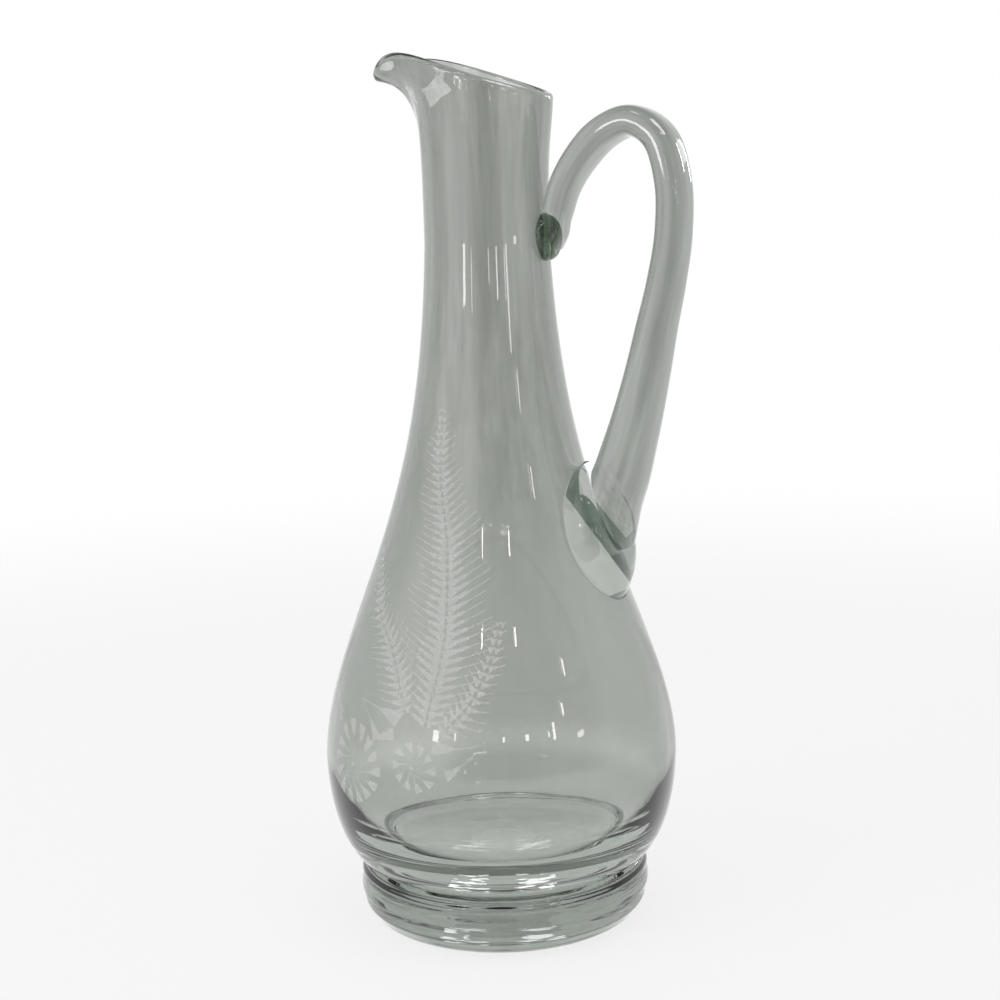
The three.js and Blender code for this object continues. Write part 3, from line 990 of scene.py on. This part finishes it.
def pad_mesh(name, body, pads, height, sizes, materials):
    """A pressed dab of glass: a flat oval face, rounded sides and a back that fits the body."""
    long, wide, thick, lean = sizes
    seat, out, up = (np.array(v) for v in seat_on_body(body, height))
    side = np.array((0.0, 1.0, 0.0))
    turns = np.arange(pads.around) / pads.around * 2 * math.pi

    def ring(reach, high):
        shift = lean * high
        return (seat + np.outer(reach * np.cos(turns) * long / 2 + shift, up)
                + np.outer(reach * np.sin(turns) * wide / 2, side) + out * high * thick)

    def on_glass(places):
        low, high = np.full(len(places), -0.02), np.full(len(places), 0.02)
        for _ in range(40):
            middle = (low + high) / 2
            at = places + middle[:, None] * out
            inside = np.hypot(at[:, 0], at[:, 1]) < outer_radius(body, at[:, 2]) + pads.gap
            low, high = np.where(inside, middle, low), np.where(inside, high, middle)
        return places + high[:, None] * out

    rings = [ring(pads.flat * s, 1.0) for s in shares(pads.steps)[1:]]
    rings += [ring(pads.flat + (1 - pads.flat) * math.sin(t), math.cos(t))
              for t in shares(pads.steps)[1:] * math.pi / 2]
    rings += [on_glass(ring(s, 0.0)) for s in shares(pads.steps)[:0:-1]]
    first = seat + up * lean + out * thick
    places, faces = skin(tuple(first), rings, tuple(on_glass(seat[None])[0]))
    back = 1 + 2 * pads.steps * pads.around
    slots = [int(min(f) >= back or max(f) == len(places) - 1) for f in faces]
    mesh = mesh_of(name, places, faces, materials, slots)
    with editing(mesh) as work:
        bmesh.ops.recalc_face_normals(work, faces=work.faces)
    smooth(mesh)
    return mesh


class CARAFE_OT_pads(bpy.types.Operator):
    """Presses the pad that the handle is drawn from and the seal that holds its tail"""

    bl_idname = "carafe.pads"
    bl_label = "Pads"

    def execute(self, context):
        scene = context.scene
        body, pads, tints = scene.carafe_body, scene.carafe_pads, scene.carafe_glass
        seat, out, up = seat_on_body(body, pads.pad_height)
        strap = bpy.data.objects["handle_glass"].data
        cut = [strap.vertices[i].co - seat for f in strap.polygons if f.material_index == 1
               for i in f.vertices if f.center.z < (pads.pad_height + pads.seal_height) / 2]
        across, rise = [v.y for v in cut], [v.dot(up) for v in cut]
        fused = under_oval(seat + up * (max(rise) + min(rise)) / 2, out, up,
                           (max(rise) - min(rise)) / 2, max(across), pads.pad_thickness / 2)
        below_root = (tuple(-up), -seat.dot(up) - min(rise))
        top_end = (tuple(up), seat.dot(up) + PAD_TOP_SHADE)
        low_end = (tuple(-up), -seat.dot(up) + PAD_LOW_SHADE)
        # Painted shade on the pad: the root's dark band, the dark band below the root and the dark
        # ends at its top and bottom
        pressed = glass("pressed pad glass", tints.pressed, tints.edge, 0.0004, stretch=1.0,
                        ior=LOW_IOR, smear=0.0, cord_depth=0.04, hole=fused, marks=[
                            *painted_shade_band_marks(tints, BAND_TOP, ROOT_END),
                            (beyond([below_root, BAND_FOOT], BAND_BLUR), tints.painted_pad_end_band),
                            (beyond([top_end], BAND_BLUR), tints.band),
                            (beyond([low_end], BAND_BLUR), tints.band)])
        # The seal's pale edge tint is a painted highlight round the dark seal
        sealed = glass("dark seal glass", tints.seal, SEAL_PAINTED_HIGHLIGHT, 0.0009, stretch=1.0,
                       scale=220.0, ior=LOW_IOR, smear=0.0)
        joint = joined_glass("fused joint of the pads")
        for name, node, height, sizes, material in (
                ("lower_pad_glass", "handle_lower_pad", pads.pad_height,
                 (pads.pad_length, pads.pad_width, pads.pad_thickness, pads.pad_lean), pressed),
                ("upper_seal_glass", "handle_upper_seal", pads.seal_height,
                 (pads.seal_length, pads.seal_width, pads.seal_thickness, 0.0), sealed)):
            mesh = pad_mesh(name, body, pads, height, sizes, [material, joint])
            dress(new_object(name, mesh), node)
        return {"FINISHED"}


# Etched spray

def leaf_strokes(along, length, stem, lean, swell, gap):
    """Barbs on both sides of a line, as (across, up, turn, length, width, bend, barb)."""
    strokes = []
    points = np.array(along, float)
    steps = np.linalg.norm(np.diff(points, axis=0), axis=1)
    total = steps.sum()
    far = np.concatenate([[0], np.cumsum(steps)])

    def spot(run):
        return np.array([np.interp(run, far, points[:, k]) for k in (0, 1)])

    for i in range(int(total / gap)):
        part = (i + 0.5) * gap / total
        ahead = spot(part * total + gap / 2) - spot(part * total - gap / 2)
        way = math.atan2(ahead[1], ahead[0])
        size = length * swell(part)
        for side in (1, -1):
            turn = way + side * lean * (1 - 0.15 * part)
            start = spot(part * total) + side * stem * np.array((-math.sin(way), math.cos(way)))
            uneven = 1 + 0.16 * math.sin(7.3 * i + side)
            strokes.append((*start, turn, size * uneven,
                            gap * math.sin(abs(turn - way)) * 0.97, -side * 0.06, 1.0))
    return strokes


def line_through(knots, steps=12):
    """A smooth line through (across, up) knots."""
    line = centripetal([Vector((a, b, 0)) for a, b in knots], steps)
    return [(p.x, p.y) for p in line]


def spray_strokes(etching):
    """Three ferns, two blossoms, some leaves and berries, in metres across and up the glass."""
    strokes = []
    for knots, size, lean, (fade, least, growth) in FERNS:
        strokes += leaf_strokes(
            line_through(knots), size, etching.stem, math.radians(lean),
            lambda s: (1 - s) ** fade * min(1, least + growth * s), etching.barb_gap)
    for across, up, radius, fewer in BLOSSOMS:
        petals = etching.petals - fewer
        for i in range(petals):
            turn = i / petals * 2 * math.pi
            reach = radius * (1 + 0.08 * math.sin(5.1 * i))
            strokes.append((across + reach * math.cos(turn), up + reach * math.sin(turn),
                            turn + math.pi, reach * 0.84, radius * 4.6 / petals, 0.10, 0.0))
        strokes.append((across - radius * 0.13, up, 0.0, radius * 0.26, radius * 0.24, 0.0, 0.0))
    strokes += [(across, up, turn, size, size * 0.36, 0.18, 0.0)
                for across, up, turn, size in LEAVES]
    across, up = BERRY_MIDDLE
    for i in range(BERRIES):
        turn = 0.9 + i * 2.4
        strokes.append((across + 0.0016 * i * math.cos(turn) / 2, up + 0.0011 * i * math.sin(turn),
                        0.0, BERRY_SIZE, BERRY_SIZE, 0.0, 0.0))
    return strokes


def spray_rule():
    """Geometry tree: a leaf-shaped stroke on every start point, laid on the glass of the body."""
    g, given = geometry_tree(
        "etched spray rule", materials=("Frost",),
        floats=("Turn", "Lift", "Depth", "Belly height", "Belly radius", "Base height",
                "Seat radius", "Neck radius", "Shoulder length", "Shoulder power"))
    sheet = g.node("GeometryNodeMeshCube", {
        "Size": (1, 1, 1), "Vertices X": 17, "Vertices Y": 3, "Vertices Z": 2}).outputs["Mesh"]
    x, y, z = g.split(g.node("GeometryNodeInputPosition").outputs[0])
    part = g.add(x, 0.5)
    leaf = g.node("GeometryNodeSetPosition", {
        "Geometry": sheet, "Position": g.join(part, y, z)}).outputs[0]
    marked = g.node("GeometryNodeStoreNamedAttribute", {
        "Geometry": leaf, "Name": "stroke", "Value": g.join(part, y, z)},
        data_type="FLOAT_VECTOR", domain="POINT").outputs[0]

    def stored(name):
        return g.node("GeometryNodeInputNamedAttribute", {"Name": name},
                      data_type="FLOAT").outputs[0]

    dots = g.node("GeometryNodeMeshToPoints", {"Mesh": given["Geometry"]}).outputs[0]
    order = g.node("GeometryNodeInputIndex").outputs[0]
    dots = g.node("GeometryNodeStoreNamedAttribute", {
        "Geometry": dots, "Name": "layer", "Value": g.math(
            "MODULO", g.times(order, 0.37), 1.0)},
        data_type="FLOAT", domain="POINT").outputs[0]
    placed = g.node("GeometryNodeInstanceOnPoints", {
        "Points": dots, "Instance": marked, "Rotation": g.join(0.0, 0.0, stored("turn")),
        "Scale": g.join(stored("long"), stored("wide"), 1.0)}).outputs[0]
    real = g.node("GeometryNodeRealizeInstances", {"Geometry": placed}).outputs[0]
    across, up, _ = g.split(g.node("GeometryNodeInputPosition").outputs[0])
    stroke = g.node("GeometryNodeInputNamedAttribute", {"Name": "stroke"},
                    data_type="FLOAT_VECTOR").outputs[0]
    along, beside, level = g.split(stroke)
    leaf_width = g.add(g.times(g.power(g.math("MAXIMUM", g.math(
        "SINE", g.times(g.power(along, 0.45), math.pi)), 0.0), 0.7), 0.94), 0.06)
    tip_round = g.power(g.math("MAXIMUM", g.minus(1.0, g.power(along, 14.0)), 0.0), 0.5)
    barb_width = g.times(g.ramp(along, 0.58, 0.76, 1.0, 0.5), g.add(0.25, g.times(tip_round, 0.75)))
    width = g.add(leaf_width, g.times(stored("barb"), g.minus(barb_width, leaf_width)))
    aside = g.minus(g.times(stored("bend"), stored("long"), g.times(along, along)),
                    g.times(beside, stored("wide"), g.minus(1.0, width)))
    across = g.minus(across, g.times(aside, g.math("SINE", stored("turn"))))
    up = g.add(up, g.times(aside, g.math("COSINE", stored("turn"))))
    down = g.over(g.minus(given["Belly height"], up),
                  g.minus(given["Belly height"], given["Base height"]))
    low = g.add(given["Seat radius"], g.times(
        g.minus(given["Belly radius"], given["Seat radius"]),
        g.math("SQRT", g.math("MAXIMUM", g.minus(1.0, g.times(down, down)), 0.0))))
    rise = g.over(g.math("MAXIMUM", g.minus(up, given["Belly height"]), 0.0),
                  given["Shoulder length"])
    high = g.add(given["Neck radius"], g.times(
        g.minus(given["Belly radius"], given["Neck radius"]),
        g.math("EXPONENT", g.times(g.power(rise, given["Shoulder power"]), -1.0))))
    above = g.math("GREATER_THAN", up, given["Belly height"])
    glass_radius = g.add(g.times(high, above), g.times(low, g.minus(1.0, above)))
    turn = g.add(given["Turn"], g.over(across, glass_radius))
    level = g.add(g.times(g.add(level, 0.5), given["Depth"]),
                  g.times(stored("layer"), given["Depth"], 0.6))
    radius = g.add(glass_radius, given["Lift"], level)
    wrapped = g.node("GeometryNodeSetPosition", {
        "Geometry": real, "Position": g.join(
            g.times(radius, g.math("COSINE", turn)),
            g.times(radius, g.math("SINE", turn)), up)}).outputs[0]
    return finish_tree(g, wrapped, (True, given["Frost"]))


def frosted(name, colour):
    """Etched glass: a thin white bloom, grainy, with a clear rib along each stroke."""
    material, g = new_material(name)
    place = g.node("ShaderNodeTexCoord").outputs["Object"]
    grain = g.noise(place, FROST_GRAIN, 2.0)
    cloud = g.noise(place, FROST_CLOUD, 1.0)
    stroke = g.node("ShaderNodeAttribute", attribute_name="stroke").outputs["Vector"]
    along, beside, _ = g.split(stroke)
    rib = g.ramp(g.math("ABSOLUTE", beside), 0.02, 0.12, 0.8, 1.0)
    tip = g.ramp(along, 0.0, 0.9, 0.85, 1.2)
    alpha = g.times(g.ramp(grain, 0.3, 0.7, *FROST_SHOWN), g.ramp(cloud, 0.3, 0.7, 0.85, 1.15),
                    rib, tip)
    g.show(g.node("ShaderNodeBsdfPrincipled", {
        "Base Color": (*colour, 1), "Alpha": alpha,
        "Roughness": g.ramp(grain, 0.3, 0.7, 0.55, 0.8)}).outputs[0])
    return material


class CARAFE_OT_etching(bpy.types.Operator):
    """Etches a spray of ferns and blossoms on the side of the bowl"""

    bl_idname = "carafe.etching"
    bl_label = "Etched spray"

    def execute(self, context):
        scene = context.scene
        body, etching = scene.carafe_body, scene.carafe_etching
        strokes = spray_strokes(etching)
        start = bpy.data.meshes.new("spray_points")
        start.from_pydata([(s[0], s[1], 0) for s in strokes], [], [])
        for name, column in (("turn", 2), ("long", 3), ("wide", 4), ("bend", 5), ("barb", 6)):
            stored = start.attributes.new(name, "FLOAT", "POINT")
            stored.data.foreach_set("value", [s[column] for s in strokes])
        frost = frosted("etched frost", scene.carafe_glass.frost)
        thing = grow("etched_spray", spray_rule(), start, {
            **named(etching, "turn", "lift", "depth"),
            **named(body, "belly_height", "belly_radius", "base_height", "seat_radius",
                    "neck_radius", "shoulder_length", "shoulder_power"), "Frost": frost})
        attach(thing, "root")
        return {"FINISHED"}


# Stage

# Level and sides of the floor, how much of it glows, and how bright it and its streaks of light
# are where it is mirrored
FLOOR_LEVEL, FLOOR_SIDES, FLOOR_GLOW = -0.0004, 64, 0.78
MIRRORED_FLOOR, SHEEN_GLOW = 1.12, 10.0
# Where the lamps aim, and how far away they stand
LAMP_AIM, LAMP_DISTANCE = (0, 0, 0.14), 1.6
# Name, turn from the camera and rise in degrees, size in metres and brightness of each lamp
LAMPS = (
    ("soft left", -62, 30, (1.1, 1.1), 1.2),
    ("soft top", 30, 72, (0.9, 0.9), 1.6),
)
# Panes that show as reflections and through the glass
PANES = (
    ("left pane", -14, 25.6, (0.03, 0.04), 16),
    ("right pane", 14, 25.6, (0.03, 0.04), 16),
    ("far pane", 48, 19.3, (0.03, 0.06), 14),
    ("near pane", 42, 13, (0.03, 0.08), 14),
    ("high left pane", -40, 40, (0.20, 0.06), 14),
    ("high right pane", 20, 38, (0.24, 0.06), 14),
)
# Windows that show only as reflections
WINDOWS = (
    ("left window", -43, 7, (0.12, 0.09), 11),
    ("left sash", -29, 8, (0.03, 0.07), 10),
    ("middle lamp", 2, 8, (0.03, 0.04), 14),
    ("right window", 16, 8, (0.06, 0.06), 12),
    ("right sash", 30, 8, (0.03, 0.05), 10),
    ("low far window", 52, 5, (0.14, 0.05), 8),
    ("neck pane", 34, 8.5, (0.05, 0.14), 12),
    ("upper left window", -26, 56, (0.28, 0.25), 10),
    ("upper window", 27, 56, (0.35, 0.20), 8),
    ("upper right window", 60, 55, (0.80, 0.75), 9),
    ("far right window", 134, 17, (0.26, 0.22), 1.6),
    ("far right sash", 128, 17, (0.04, 0.26), 14),
    ("far right frame", 140, 14, (0.06, 0.30), 14),
)
# Turn from the camera and half angle in degrees of the streaks of light beside the foot
SHEENS = ((-19.0, 9.5), (16.0, 9.5))
# From and to which distances they begin, and from and to which they end
SHEEN_START, SHEEN_END = (0.0465, 0.0475), (0.060, 0.084)
# Counts of their rows around the middle and per metre away from it
SHEEN_TURNS, SHEEN_ROWS = 4.0, 330.0
# Between which distances the floor fades
FLOOR_FADE = (0.35, 1.0)
# Ways in which a dark and a pale side of the room show in reflections
DIM_SIDE = (0.71, -0.71, 0.0)
PALE_SIDE = (-0.56, -0.81, 0.17)
# How bright the room is as a light
WORLD_LIGHT = 0.52
# Greys of the dark top of the room and of its dim side
DARK_TOP, DIM_GREY = (0.36, 0.38, 0.39, 1), (0.12, 0.12, 0.12, 1)


def fading_floor(sheens):
    """A pale matt floor that fades out into the background.

    sheens are (way from the middle, half angle) of streaks of light that only reflections show.
    """
    material, g = new_material("pale floor")
    place = g.node("ShaderNodeTexCoord").outputs["Object"]
    away = g.vector_math("LENGTH", place)
    toward = g.vector_math("NORMALIZE", place)
    bright = 0.0
    for way, half in sheens:
        near = g.vector_math("DOT_PRODUCT", toward, way)
        bright = g.add(bright, g.ramp(near, math.cos(half * 1.5), math.cos(half * 0.8)))
    x, y, _ = g.split(place)
    around = g.times(g.math("ARCTAN2", y, x), SHEEN_TURNS)
    rows = g.noise(g.join(around, g.times(away, SHEEN_ROWS), 0.0), 1.0, 2.0)
    close = g.times(g.ramp(away, *SHEEN_START), g.ramp(away, *SHEEN_END, 1.0, 0.0))
    streaks = g.ramp(g.add(rows, g.times(bright, close, 0.3)), 0.79, 0.85)
    path = g.node("ShaderNodeLightPath").outputs
    matt = g.node("ShaderNodeBsdfDiffuse", {"Color": (0.93, 0.93, 0.93, 1)}).outputs[0]
    glow = g.node("ShaderNodeEmission", {"Strength": 1.0}).outputs[0]
    white = g.node("ShaderNodeEmission", {"Strength": g.add(
        MIRRORED_FLOOR, g.times(streaks, path["Is Glossy Ray"], SHEEN_GLOW))}).outputs[0]
    clear = g.node("ShaderNodeBsdfTransparent").outputs[0]
    through = g.math("MAXIMUM", path["Is Glossy Ray"], path["Is Transmission Ray"])
    shown = g.mix_shader(through, g.mix_shader(FLOOR_GLOW, matt, glow), white)
    g.show(g.mix_shader(g.ramp(away, *FLOOR_FADE), shown, clear))
    return material


def lamp(name, place, target, size, glow, mirrored, through):
    """An area lamp whose face is glow times as bright as white."""
    light = bpy.data.lights.new(name, "AREA")
    light.shape = "RECTANGLE"
    light.size, light.size_y = size
    light.energy = glow * math.pi * size[0] * size[1]
    thing = bpy.data.objects.new(name, light)
    thing.location = place
    thing.rotation_mode = "QUATERNION"
    thing.rotation_quaternion = (Vector(target) - Vector(place)).to_track_quat("-Z", "Y")
    thing.visible_camera = False
    thing.visible_transmission = through
    thing.visible_glossy = mirrored
    thing.visible_diffuse = not mirrored
    bpy.context.scene.collection.objects.link(thing)
    return thing


def studio_world():
    """White where the background is seen, also through glass, and a plain level for the light."""
    world = bpy.data.worlds.new("soft studio")
    bpy.context.scene.world = world
    world.use_nodes = True
    g = Graph(world.node_tree)
    g.tree.nodes.clear()
    path = g.node("ShaderNodeLightPath").outputs
    way = g.node("ShaderNodeTexCoord").outputs["Generated"]
    mirrored, passed = path["Is Glossy Ray"], path["Is Transmission Ray"]
    dark_top = g.times(g.ramp(g.split(way)[2], 0.30, 0.80), g.ramp(passed, 0.0, 1.0, 1.0, 0.45))
    dome = g.mix_colour(dark_top, (1, 1, 1, 1), DARK_TOP)
    dim = g.times(g.ramp(g.vector_math("DOT_PRODUCT", way, DIM_SIDE), 0.45, 0.95), mirrored)
    dome = g.mix_colour(dim, dome, DIM_GREY)
    pale = g.times(g.ramp(g.vector_math("DOT_PRODUCT", way, PALE_SIDE), 0.72, 0.98), mirrored)
    seen = g.node("ShaderNodeBackground", {
        "Color": dome, "Strength": g.add(1.0, g.times(pale, 0.7))}).outputs[0]
    lit = g.node("ShaderNodeBackground", {
        "Color": (1, 1, 1, 1), "Strength": WORLD_LIGHT}).outputs[0]
    shown = g.math("MAXIMUM", path["Is Camera Ray"], g.math("MAXIMUM", mirrored, passed))
    g.show(g.mix_shader(shown, lit, seen), "ShaderNodeOutputWorld")


class CARAFE_OT_stage(bpy.types.Operator):
    """Sets the pale floor, the soft lamps, the background and the camera"""

    bl_idname = "carafe.stage"
    bl_label = "Stage"

    def execute(self, context):
        stage = context.scene.carafe_stage
        facing = stage.azimuth - math.pi / 2

        def from_camera(turn, far, high):
            at = facing + math.radians(turn)
            return (far * math.cos(at), far * math.sin(at), high)

        sheens = [(from_camera(turn, 1.0, 0.0), math.radians(half)) for turn, half in SHEENS]
        middle = (0, 0, FLOOR_LEVEL)
        ring = [(stage.floor_radius * math.cos(t), stage.floor_radius * math.sin(t), FLOOR_LEVEL)
                for t in np.arange(FLOOR_SIDES) / FLOOR_SIDES * 2 * math.pi]
        faces = [(0, 1 + i, 1 + (i + 1) % FLOOR_SIDES) for i in range(FLOOR_SIDES)]
        mesh = mesh_of("floor", [middle, *ring], faces, [fading_floor(sheens)])
        new_object("floor", mesh)
        studio_world()
        for spec in LAMPS + PANES + WINDOWS:
            name, turn, rise, size, glow = spec
            up = math.radians(rise)
            place = from_camera(turn, LAMP_DISTANCE * math.cos(up),
                                LAMP_AIM[2] + LAMP_DISTANCE * math.sin(up))
            lamp(name, place, LAMP_AIM, size, glow, spec not in LAMPS, spec in PANES)
        camera = bpy.data.cameras.new("photo camera")
        camera.lens = stage.lens
        camera.sensor_width = 36
        camera.clip_start = 0.01
        eye = bpy.data.objects.new("photo camera", camera)
        bpy.context.scene.collection.objects.link(eye)
        place = Vector((math.sin(stage.azimuth), -math.cos(stage.azimuth), 0)) * stage.distance
        place.z = stage.eye_height
        back = (place - Vector((0, 0, stage.aim_height))).normalized()
        right = Vector((0, 0, 1)).cross(back).normalized()
        above = back.cross(right)
        turned = Matrix((right, above, back)).transposed()
        turned = turned @ Matrix.Rotation(-stage.yaw, 3, "Y") @ Matrix.Rotation(-stage.roll, 3, "Z")
        eye.matrix_world = Matrix.Translation(place) @ turned.to_4x4()
        context.scene.camera = eye
        context.scene.view_settings.view_transform = "Standard"
        return {"FINISHED"}


class CARAFE_PT_panel(bpy.types.Panel):
    """Sizes, colours and steps of the carafe"""

    bl_idname = "CARAFE_PT_panel"
    bl_label = "Carafe"
    bl_space_type = "VIEW_3D"
    bl_region_type = "UI"
    bl_category = "Carafe"

    def draw(self, context):
        for operator in OPERATORS:
            self.layout.operator(operator.bl_idname)
        for key in SETTINGS:
            box = self.layout.box()
            for item in SETTINGS[key].__annotations__:
                box.prop(getattr(context.scene, key), item)


OPERATORS = (
    CARAFE_OT_blown_body,
    CARAFE_OT_foot,
    CARAFE_OT_handle,
    CARAFE_OT_pads,
    CARAFE_OT_etching,
    CARAFE_OT_stage,
)


def register():
    for item in (*SETTINGS.values(), *OPERATORS, CARAFE_PT_panel):
        bpy.utils.register_class(item)
    for key, group in SETTINGS.items():
        setattr(bpy.types.Scene, key, bpy.props.PointerProperty(type=group))


def unregister():
    for key in SETTINGS:
        delattr(bpy.types.Scene, key)
    for item in (CARAFE_PT_panel, *OPERATORS, *SETTINGS.values()):
        bpy.utils.unregister_class(item)


def main():
    register()
    blown_surface()
    bpy.ops.carafe.blown_body()
    bpy.ops.carafe.foot()
    bpy.ops.carafe.handle()
    bpy.ops.carafe.pads()
    bpy.ops.carafe.etching()
    bpy.ops.carafe.stage()


if __name__ == "__main__":
    main()
